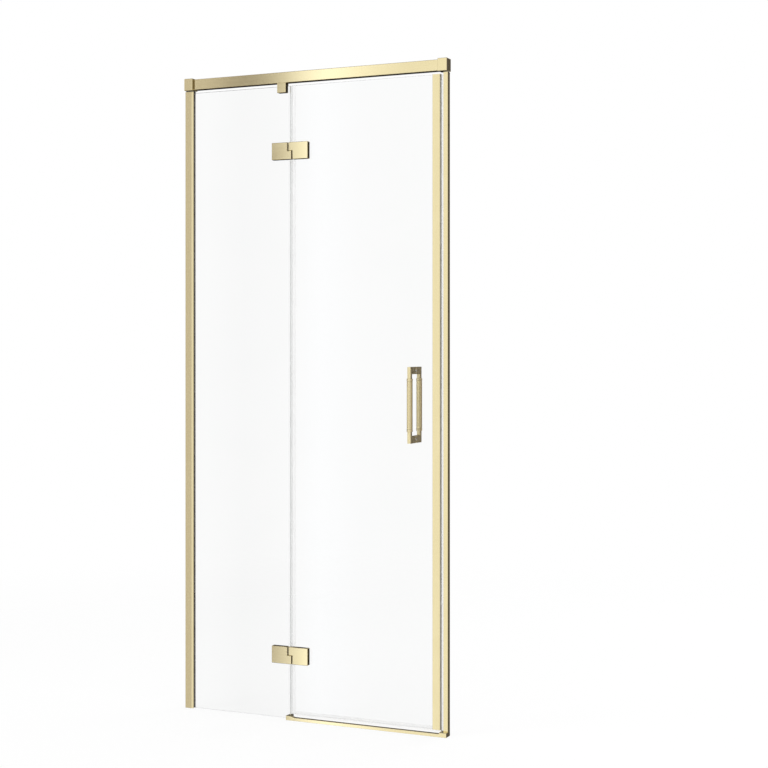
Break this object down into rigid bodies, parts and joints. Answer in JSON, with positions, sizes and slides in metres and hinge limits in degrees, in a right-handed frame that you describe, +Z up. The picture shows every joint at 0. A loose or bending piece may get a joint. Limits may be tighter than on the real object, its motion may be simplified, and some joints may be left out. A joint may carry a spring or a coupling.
{
  "type": "shower door",
  "caption": "Hinged glass shower door for a niche, with a fixed glass panel beside it, a top rail, a low threshold, and a handle on both sides.",
  "frame": {"origin": "on the tray, in the middle of the width and of the glass", "axes": "+X from the left wall to the right wall seen from outside, +Y into the shower, +Z up"},
  "size_m": [0.9, 0.092, 2],
  "materials": {
    "gold_profile": "brushed pale gold, anodised",
    "gold_fitting": "brushed pale gold, with polished edges",
    "clear_glass": "clear toughened glass with ground edges",
    "clear_seal": "clear soft plastic",
    "magnet_strip": "grey magnetic rubber",
    "gasket_rubber": "matt grey rubber",
    "bearing_plastic": "natural nylon",
    "screw_steel": "plain stainless steel"
  },
  "bodies": {
    "frame": {"cap_plate_left": "gold_fitting", "cap_plate_right": "gold_fitting", "cap_screws": "screw_steel", "cap_spacers": "gasket_rubber", "clamp_bolt": "screw_steel", "clamp_grub": "screw_steel", "clamp_pads": "gasket_rubber", "end_cap_left": "gold_fitting", "end_cap_right": "gold_fitting", "fixed_glass": "clear_glass", "fixed_leaf_screws": "screw_steel", "glass_clamp": "gold_fitting", "glass_gasket_back": "gasket_rubber", "glass_gasket_front": "gasket_rubber", "hinge_lower_fixed_discs": "gold_fitting", "hinge_lower_fixed_leaf": "gold_fitting", "hinge_lower_fixed_pad": "gasket_rubber", "hinge_lower_pin": "screw_steel", "hinge_lower_washer": "bearing_plastic", "hinge_upper_fixed_discs": "gold_fitting", "hinge_upper_fixed_leaf": "gold_fitting", "hinge_upper_fixed_pad": "gasket_rubber", "hinge_upper_pin": "screw_steel", "hinge_upper_washer": "bearing_plastic", "profile_screws": "screw_steel", "rail_screws": "screw_steel", "threshold": "gold_profile", "threshold_end_left": "gold_fitting", "threshold_end_right": "gold_fitting", "top_rail": "gold_profile", "wall_channel_left": "gold_profile", "wall_channel_right": "gold_profile", "wall_magnet": "magnet_strip", "wall_profile_left": "gold_profile", "wall_profile_right": "gold_profile", "wall_seal": "clear_seal"},
    "door": {"door_edge_profile": "gold_profile", "door_glass": "clear_glass", "door_leaf_screws": "screw_steel", "door_magnet": "magnet_strip", "drip_seal": "clear_seal", "edge_gaskets": "gasket_rubber", "handle_arms_front": "gold_fitting", "handle_arms_rear": "gold_fitting", "handle_bushes": "bearing_plastic", "handle_collars": "gold_fitting", "handle_grip_front": "gold_fitting", "handle_grip_rear": "gold_fitting", "handle_grubs": "screw_steel", "handle_rods": "screw_steel", "handle_studs": "screw_steel", "hinge_lower_bush": "bearing_plastic", "hinge_lower_door_discs": "gold_fitting", "hinge_lower_door_leaf": "gold_fitting", "hinge_lower_door_pad": "gasket_rubber", "hinge_seal": "clear_seal", "hinge_upper_bush": "bearing_plastic", "hinge_upper_door_discs": "gold_fitting", "hinge_upper_door_leaf": "gold_fitting", "hinge_upper_door_pad": "gasket_rubber"}
  },
  "joints": [
    {"name": "door_swing", "type": "hinge", "parent": "frame", "child": "door", "pos_m": [-0.07, -0.0105, 0.976], "axis": [0, 0, -1], "range_deg": [0, 95]}
  ]
}
